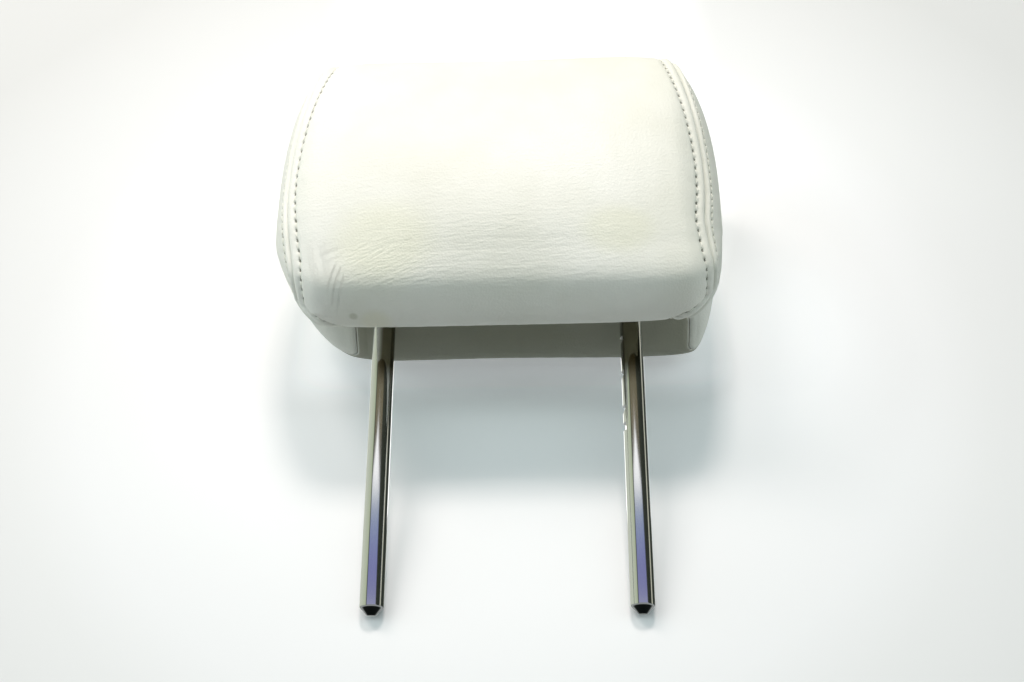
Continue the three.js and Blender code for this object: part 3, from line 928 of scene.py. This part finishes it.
def split(tree, vector):
    """The three parts of a vector."""
    parts = node(tree, "SeparateXYZ", {"Vector": vector})
    return [parts.outputs[axis] for axis in "XYZ"]


def object_place(tree):
    """The place on the object, and its X, Y and Z."""
    place = node(tree, "TexCoord").outputs["Object"]
    return place, *split(tree, place)


def raise_surface(tree, shader, height, strength, distance):
    raised = node(
        tree, "Bump", {"Height": height}, Strength=strength, Distance=distance)
    tree.links.new(raised.outputs["Normal"], shader.inputs["Normal"])


def mixed(tree, share, first, second):
    """The first shader where share is 0, and the second where it is 1."""
    links = {"Fac": share, 1: first.outputs[0], 2: second.outputs[0]}
    return node(tree, "MixShader", links)


def set_material(obj, material):
    obj.data.materials.clear()
    obj.data.materials.append(material)


def ramp(tree, source, stops, low, high):
    """A colour ramp over a value that runs from low to high."""
    scaled = node(tree, "MapRange", {"Value": source}, From_Min=low, From_Max=high)
    made = node(tree, "ValToRGB", {"Fac": scaled.outputs["Result"]})
    dots = made.color_ramp.elements
    places = [(place - low) / (high - low) for place, _ in stops]
    dots[0].position, dots[1].position = places[0], places[-1]
    dots[0].color, dots[1].color = linear(stops[0][1]), linear(stops[-1][1])
    for place, (_, colour) in zip(places[1:-1], stops[1:-1]):
        dots.new(place).color = linear(colour)
    return made.outputs["Color"]


def step_up(tree, source, start, end):
    """Rises smoothly from 0 at start to 1 at end, or falls where end is lower."""
    made = node(
        tree, "MapRange", {"Value": source}, interpolation_type="SMOOTHSTEP",
        From_Min=min(start, end), From_Max=max(start, end),
        To_Min=float(start > end), To_Max=float(start < end))
    return made.outputs["Result"]


def calculate(tree, operation, total, *others):
    """Combines sockets and numbers from left to right."""
    for other in others:
        made = node(tree, "Math", operation=operation)
        for socket, value in enumerate((total, other)):
            if isinstance(value, (int, float)):
                made.inputs[socket].default_value = value
            else:
                tree.links.new(value, made.inputs[socket])
        total = made.outputs["Value"]
    return total


def product(tree, *factors):
    return calculate(tree, "MULTIPLY", *factors)


def turned(tree, place, turn):
    """The place, turned about Y by an angle in degrees."""
    made = node(tree, "Mapping", {"Vector": place}, Rotation=(0, math.radians(turn), 0))
    return made.outputs["Vector"]


def stretched_noise(tree, place, turn, scale):
    """Noise drawn out along X, after a turn about Y in degrees."""
    stretch = (WRINKLE_STRETCH, 1.0, 1.2)
    drawn = node(tree, "Mapping", {"Vector": turned(tree, place, turn)}, Scale=stretch)
    made = node(
        tree, "TexNoise", {"Vector": drawn.outputs["Vector"]}, Scale=scale, Detail=3.0)
    return made.outputs["Fac"]


def vector_math(tree, operation, vector, second=(0, 0, 0)):
    made = node(tree, "VectorMath", {0: vector}, operation=operation)
    made.inputs[1].default_value = second
    return made


def near(tree, place, middle, size, softness=0.6):
    """1 inside an ellipsoid of the given half sizes, falling to 0 at its skin."""
    offset = vector_math(tree, "SUBTRACT", place, middle).outputs["Vector"]
    scaled = vector_math(tree, "DIVIDE", offset, size).outputs["Vector"]
    reach = vector_math(tree, "LENGTH", scaled).outputs["Value"]
    return step_up(tree, reach, 1.0, 1.0 - softness)


def tinted(tree, colour, share, tint):
    """The colour multiplied by a tint where share is 1."""
    links = {0: share, 6: colour}
    made = node(tree, "Mix", links, data_type="RGBA", blend_type="MULTIPLY")
    made.inputs[7].default_value = linear(tint)
    return made.outputs[2]


def needle_holes(tree, along, across, row, reach):
    """1 in the needle holes of one row of stitches, where shade is painted, from the sewing UV in
    millimetres.
    """
    beat = calculate(tree, "ADD", calculate(tree, "DIVIDE", along, STITCH_PITCH / MM), 0.5)
    phase = calculate(tree, "SUBTRACT", calculate(tree, "FRACT", beat, 0.0), 0.5)
    ahead = calculate(tree, "ABSOLUTE", phase, 0.0)
    aside = calculate(tree, "ABSOLUTE", calculate(tree, "SUBTRACT", across, row / MM), 0.0)
    return product(
        tree,
        step_up(tree, ahead, *(share * reach * MM / STITCH_PITCH for share in HOLE_ALONG)),
        step_up(tree, aside, *(share * reach for share in HOLE_ACROSS)))


def creases(tree, place, middle, size, turn, pitch, sharpness):
    """Height of thin folded lines, in an ellipsoid, that run at a turn from upright."""
    lines = node(
        tree, "TexWave", {"Vector": turned(tree, place, turn)}, bands_direction="X",
        Scale=0.314 / pitch, Distortion=4.0, Detail=2.0, Detail_Scale=0.6 / pitch)
    thin = step_up(tree, lines.outputs["Fac"], sharpness, 1.0)
    return product(tree, thin, near(tree, place, middle, size, 0.8))


def coated_leather():
    """Cream pigment-coated leather cloth, embossed: a fine pebble with stretched wrinkles.

    Marks of use are laid over it: folds at the lower left, three yellowed patches and two
    dark specks. Shade is painted into the trough of the underside and into the needle holes.
    """
    material, tree, shader = new_material("coated_leather_cream", Roughness=0.5)
    place, _, y, z = object_place(tree)
    blotch = node(tree, "TexNoise", {"Vector": place}, Scale=14.0, Detail=3.0)
    colour = ramp(tree, blotch.outputs["Fac"], BLOTCH_STOPS, 0, 1)
    sewing = node(tree, "UVMap", uv_map="sewing").outputs["UV"]
    along, across, _ = split(tree, sewing)
    for middle, size, tint in STAINS:
        colour = tinted(tree, colour, near(tree, place, middle, size), tint)
    # Painted shade in the trough of the underside
    low = step_up(tree, z, *TROUGH_LOW)
    trough_shade = product(
        tree, low, step_up(tree, y, *TROUGH_SHADE_FRONT), step_up(tree, y, *TROUGH_SHADE_REAR),
        step_up(tree, across, *TROUGH_SHADE_INSIDE_SEAM))
    colour = tinted(tree, colour, trough_shade, TROUGH_SHADE_TINT)
    under = product(tree, low, step_up(tree, y, *HOLES_END))
    open_seam = calculate(tree, "SUBTRACT", 1.0, under)
    # Shade painted into the needle holes of both rows
    for row, reach, tint in HOLE_SHADES:
        hole_shade = needle_holes(tree, along, across, row, reach)
        colour = tinted(tree, colour, product(tree, hole_shade, open_seam), tint)
    tree.links.new(colour, shader.inputs["Base Color"])

    pebble = node(tree, "TexVoronoi", {"Vector": place}, Scale=PEBBLE_SCALE)
    level = stretched_noise(tree, place, *LEVEL_WRINKLES)
    slanted = stretched_noise(tree, place, *SLANTED_WRINKLES)
    level_share = calculate(tree, "ADD", near(tree, place, *LOW_FACE), 0.8)
    slanted_share = product(tree, near(tree, place, *SLANTED_NEAR), SLANTED_SHARE)
    grain = [
        product(tree, pebble.outputs["Distance"], PEBBLE_SHARE),
        product(tree, level, level_share),
        product(tree, slanted, slanted_share),
    ]
    for *fold, height in FOLDS:
        grain.append(product(tree, creases(tree, place, *fold), height))
    raise_surface(tree, shader, calculate(tree, "ADD", *grain), 0.5, 0.3 * MM)
    return material


def chrome_plate():
    """Polished chrome on steel tube: a clear mirror, with a dark reflection painted next to the
    pad.
    """
    material, tree, shader = new_material("polished_chrome", Metallic=1.0, Roughness=0.08)
    _, x, _, z = object_place(tree)
    plate = node(tree, "RGB")
    plate.outputs["Color"].default_value = linear("#dcdcdc")
    colour = plate.outputs["Color"]
    # A dark reflection of the shaded pad is painted on each post next to the pad
    for axis, start, full, end in PAINTED_REFLECTIONS:
        aside = calculate(tree, "SUBTRACT", x, axis)
        painted_reflection = product(
            tree, step_up(tree, z, *PAINTED_REFLECTION_RISE),
            step_up(tree, aside, start, full), step_up(tree, aside, end, end - PAINTED_REFLECTION_EDGE))
        colour = tinted(tree, colour, painted_reflection, PAINTED_REFLECTION_TINT)
    tree.links.new(colour, shader.inputs["Base Color"])
    return material


def plain_finish(name, colour, roughness, metallic=0.0, grain=300.0, depth=0.0001):
    """A moulded, woven or plated finish with a fine even texture."""
    material, tree, shader = new_material(
        name, Base_Color=linear(colour), Roughness=roughness, Metallic=metallic)
    place = node(tree, "TexCoord").outputs["Object"]
    speck = node(tree, "TexNoise", {"Vector": place}, Scale=grain, Detail=3.0)
    raise_surface(tree, shader, speck.outputs["Fac"], 0.4, depth)
    return material


def table_top(obj):
    """The pale table, open from behind so that the back of the pad can be seen.

    The lens sees its shadow next to the pad paler than it falls, and mirrors look
    past the table into the room.
    """
    material, tree, shader = new_material("pale_table", Roughness=0.7)
    place, x, _, z = object_place(tree)
    away = vector_math(tree, "DISTANCE", place, TABLE_MIDDLE).outputs["Value"]
    # Painted shade: the table's colour darkens away from its middle, where the lamps' light falls
    # off
    tone = ramp(tree, away, TABLE_FALLOFF_STOPS, 0, 0.5)
    tree.links.new(tone, shader.inputs["Base Color"])
    path = node(tree, "LightPath")
    sideways = calculate(tree, "ABSOLUTE", x, 0.0)
    foot = product(
        tree, SHADOW_LIFT, step_up(tree, z, *LIFT_RISE), step_up(tree, sideways, *LIFT_SIDES))
    right = product(tree, near(tree, place, *RIGHT_NEAR), RIGHT_LIFT)
    lifted = product(tree, path.outputs["Is Camera Ray"], calculate(tree, "MAXIMUM", foot, right))
    glow = node(tree, "Emission", {"Strength": lifted}, Color=linear(LIFT_COLOUR))
    seen = node(
        tree, "AddShader", {0: shader.outputs["BSDF"], 1: glow.outputs["Emission"]})
    behind = node(tree, "NewGeometry").outputs["Backfacing"]
    passed = calculate(tree, "MAXIMUM", behind, path.outputs["Is Glossy Ray"])
    shown = mixed(tree, passed, seen, node(tree, "BsdfTransparent"))
    tree.links.new(shown.outputs[0], tree.nodes["Material Output"].inputs["Surface"])
    set_material(obj, material)


# Build the cover

lookup = simulated_swell()

leather = coated_leather()
thread = plain_finish("bonded_nylon_thread", "#e4e5db", 0.6, grain=2400.0)

centre = centre_panel(lookup)
caps = {side: end_panel(side, label, lookup) for side, label in SIDES}
for panel in (centre, *caps.values()):
    finish_sheet(panel, SKIN, 70)
    set_material(panel, leather)
    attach(panel, "root")
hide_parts("cover_centre_panel")
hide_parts("cover_end_panel_left")
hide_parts("cover_end_panel_right")

for side, label in SIDES:
    for row, place in ((INNER_ROW, "inner"), (OUTER_ROW, "outer")):
        stitches = thread_row(f"topstitch_{label}_{place}", side, row, lookup)
        set_material(stitches, thread)
        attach(stitches, "root")


# Finishes of the part's own solids

stay = stay_tube()
set_material(stay, chrome_plate())
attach(stay, "root")
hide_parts("stay_tube")

woven_tape = plain_finish("woven_tape", "#dcd8c6", 0.85, grain=1500.0)
for side, label in SIDES:
    tape = seam_tape(side, label)
    set_material(tape, woven_tape)
    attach(tape, "root")
    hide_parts(f"seam_tape_{label}")

foam = foam_block()
cut_foam = plain_finish("cut_polyurethane_foam", "#cdbb7d", 0.95, grain=1200.0, depth=0.0006)
set_material(foam, cut_foam)
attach(foam, "root")
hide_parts("foam_pad")
core_plastic = plain_finish("moulded_polypropylene", "#2b2c2f", 0.55)
hook_plastic = plain_finish("extruded_polypropylene", "#b9b7ab", 0.5)
screw_zinc = plain_finish("zinc_plated_steel", "#b4b6b3", 0.35, metallic=1.0)
finishes = {
    "core_front": core_plastic, "core_rear": core_plastic,
    "closure_hook_front": hook_plastic, "closure_hook_rear": hook_plastic,
    **{f"core_screw_{number}": screw_zinc for number in range(1, 5)},
}
for name, finish in finishes.items():
    set_material(frame["nodes"][name], finish)


# Table, light and camera

LAMP_AIM = (0, 0, 0.2)
KEY_PLACE = (0.05, -1.0, 1.32)
KEY_SIZE = (0.3, 0.22)
KEY_POWER = 11.0
SIDE_PLACE = (-0.8, -1.0, 1.35)
SIDE_SIZE = (0.8, 0.3)
SIDE_POWER = 10.9
KEY_COLOUR = "#fff0ea"
FILL_PLACE = (0.0, 1.5, 0.9)
FILL_SIZE = (1.4, 1.0)
FILL_POWER = 8

# What the lens sees of the surroundings
BACKDROP = "#eceeee"

# Soft light of the room, by the sine of the height above the horizon
SOFT_STRENGTH = 3.0
SOFT_LEAN = -0.2
SOFT_STOPS = [
    (-1.0, "#252727"), (-0.25, "#252727"), (0.0, "#8a9191"),
    (0.25, "#edf9f9"), (0.5, "#383b3b"), (1.0, "#252727"),
]

# What the posts mirror. Heights are the sine of the angle above the horizon,
# and turns are degrees from the camera's side towards the right.
MIDDLE_STOPS = [
    (-1.0, "#101312"), (-0.64, "#1a1d1c"), (-0.5, "#7d8280"),
    (-0.3, "#b4b8b5"), (-0.05, "#70747c"), (0.10, "#a6aab2"),
    (0.13, "#c3c7d0"), (0.15, "#8384b6"), (0.18, "#8183bb"),
    (0.21, "#8e9cc2"), (0.235, "#a3b0bf"), (0.26, "#6f7068"),
    (0.285, "#5d5845"), (0.31, "#857d64"), (0.335, "#6d664f"),
    (0.42, "#4c4635"), (1.0, "#2c2b21"),
]
AROUND_STOPS = [
    (-180, "#a9ad9f"), (-160, "#d3d7ca"), (-110, "#d5dccb"),
    (-62, "#c4cdb4"), (-50, "#b4bfa1"), (-46, "#474b41"),
    (-38, "#4a4d42"), (34, "#3d3f34"), (60, "#2f332b"),
    (88, "#2a2f27"), (93, "#d4d4c2"), (102, "#d8d8c8"),
    (106, "#3a3e38"), (150, "#343a33"), (180, "#8c9186"),
]
MIDDLE_LEFT = -44
MIDDLE_RIGHT = 64
MIDDLE_NARROWING = -100.0
MIDDLE_EDGE = 7
MIDDLE_LOW = (0.02, -0.12)
WINDOW_STRENGTH = 1.3
WINDOW_TURN = -8
WINDOW_TOP = 0.305
WINDOW_FOOT = 0.222
WINDOW_SLOPE = 0.0013
WINDOW_EDGE = 0.012

TABLE_CONTACT_Z = 4.2 * MM
TABLE_TILT = math.radians(15.0)
TABLE_SIZE = 6.0
TABLE_MIDDLE = (-0.01, 0.055, 0.19)

# How much paler the lens sees the table's shadow: below the pad, with the heights
# and sides where that starts and is full, and at the pad's right
LIFT_COLOUR = "#f6fbff"
SHADOW_LIFT = 0.27
LIFT_RISE = (0.124, 0.156)
LIFT_SIDES = (0.16, 0.105)
RIGHT_LIFT = 0.15
RIGHT_NEAR = ((0.165, 0.05, 0.18), (0.085, 0.2, 0.10), 0.9)

# Colour of the table by the distance from its middle: painted shade, darker further out, where
# the lamps' light falls off
TABLE_FALLOFF_STOPS = [
    (0.0, "#eceff0"), (0.19, "#eceff0"), (0.26, "#e6e9ea"),
    (0.30, "#dfe2e2"), (0.45, "#cfd2d1"),
]


def table_plane():
    """The table that the tips and the pad's back touch."""
    deselect()
    bpy.ops.mesh.primitive_plane_add(size=TABLE_SIZE)
    table = bpy.context.active_object
    table.name = "table"
    turn = Matrix.Rotation(math.radians(90) - TABLE_TILT, 4, "X")
    lift = Matrix.Translation((0, TUBE_DIAMETER / 2, TABLE_CONTACT_Z))
    table.data.transform(lift @ turn)
    table_top(table)
    return table


def area_light(name, place, size, power, colour="#ffffff"):
    data = bpy.data.lights.new(name, "AREA")
    data.shape = "RECTANGLE"
    data.size, data.size_y = size
    data.energy = power
    data.color = linear(colour)[:3]
    lamp = add_object(name, data)
    lamp.location = place
    heading = Vector(LAMP_AIM) - Vector(place)
    lamp.rotation_euler = heading.to_track_quat("-Z", "Y").to_euler()
    return lamp


def fill_from_behind(table):
    """A soft lamp on the pad's back, which the table would otherwise keep dark."""
    lamp = area_light("fill_from_behind", FILL_PLACE, FILL_SIZE, FILL_POWER)
    blockers = bpy.data.collections.new("all_but_the_table")
    for obj in bpy.data.objects:
        if obj.type == "MESH" and obj != table:
            blockers.objects.link(obj)
    lamp.light_linking.blocker_collection = blockers


def camera():
    data = bpy.data.cameras.new("camera")
    data.sensor_width = SENSOR_WIDTH
    data.sensor_fit = "HORIZONTAL"
    data.lens = FOCAL_PIXELS / IMAGE_WIDTH * SENSOR_WIDTH
    data.clip_start = 0.01
    data.clip_end = 50
    cam = add_object("camera", data)
    azimuth = math.radians(CAMERA_AZIMUTH)
    elevation = math.radians(CAMERA_ELEVATION)
    turn = Matrix.Rotation(azimuth, 4, "Z") @ Matrix.Rotation(math.pi / 2 - elevation, 4, "X")
    cam.matrix_world = Matrix.Translation(CAMERA_PLACE) @ turn
    bpy.context.scene.camera = cam


def mirrored_room(tree, x, y, height):
    """A pale wall at the left, a dark one at the right, and a long window between them."""
    back = calculate(tree, "MULTIPLY", y, -1.0)
    turn = calculate(tree, "MULTIPLY", calculate(tree, "ARCTAN2", x, back), math.degrees(1))
    around = ramp(tree, turn, AROUND_STOPS, -180, 180)
    walls = node(tree, "Background", {"Color": around})
    middle = node(tree, "Background", {"Color": ramp(tree, height, MIDDLE_STOPS, -1, 1)})
    right = calculate(tree, "SUBTRACT", turn, product(tree, height, MIDDLE_NARROWING))
    share = product(
        tree,
        step_up(tree, turn, MIDDLE_LEFT, MIDDLE_LEFT + MIDDLE_EDGE),
        step_up(tree, right, MIDDLE_RIGHT, MIDDLE_RIGHT - MIDDLE_EDGE))
    share = calculate(tree, "MAXIMUM", share, step_up(tree, height, *MIDDLE_LOW))
    room = mixed(tree, share, walls, middle)
    aside = calculate(tree, "ABSOLUTE", calculate(tree, "SUBTRACT", turn, WINDOW_TURN), 0.0)
    sloped = calculate(tree, "ADD", height, calculate(tree, "MULTIPLY", aside, WINDOW_SLOPE))
    pane_share = product(
        tree,
        step_up(tree, sloped, WINDOW_TOP, WINDOW_TOP - WINDOW_EDGE),
        step_up(tree, height, WINDOW_FOOT, WINDOW_FOOT + 3 * WINDOW_EDGE),
        share)
    pane = node(tree, "Background", Color=linear("#ffffff"), Strength=WINDOW_STRENGTH)
    return mixed(tree, pane_share, room, pane)


def studio_world():
    """Even soft light, and for mirrors a room with one long pale window."""
    world = bpy.data.worlds.new("studio")
    bpy.context.scene.world = world
    world.use_nodes = True
    tree = world.node_tree
    tree.nodes.clear()
    heading = split(tree, node(tree, "TexCoord").outputs["Generated"])
    glow = ramp(tree, heading[2], SOFT_STOPS, -1, 1)
    lean = calculate(tree, "MULTIPLY", heading[0], SOFT_LEAN)
    strength = calculate(tree, "MULTIPLY", calculate(tree, "ADD", lean, 1.0), SOFT_STRENGTH)
    soft = node(tree, "Background", {"Color": glow, "Strength": strength})
    path = node(tree, "LightPath")
    light = mixed(tree, path.outputs["Is Glossy Ray"], soft, mirrored_room(tree, *heading))
    backdrop = node(tree, "Background", Color=linear(BACKDROP))
    seen = mixed(tree, path.outputs["Is Camera Ray"], light, backdrop)
    node(tree, "OutputWorld", {"Surface": seen.outputs["Shader"]})


fill_from_behind(table_plane())
area_light("key", KEY_PLACE, KEY_SIZE, KEY_POWER, KEY_COLOUR)
area_light("side", SIDE_PLACE, SIDE_SIZE, SIDE_POWER, KEY_COLOUR)
camera()
studio_world()
bpy.context.scene.view_settings.view_transform = "Standard"
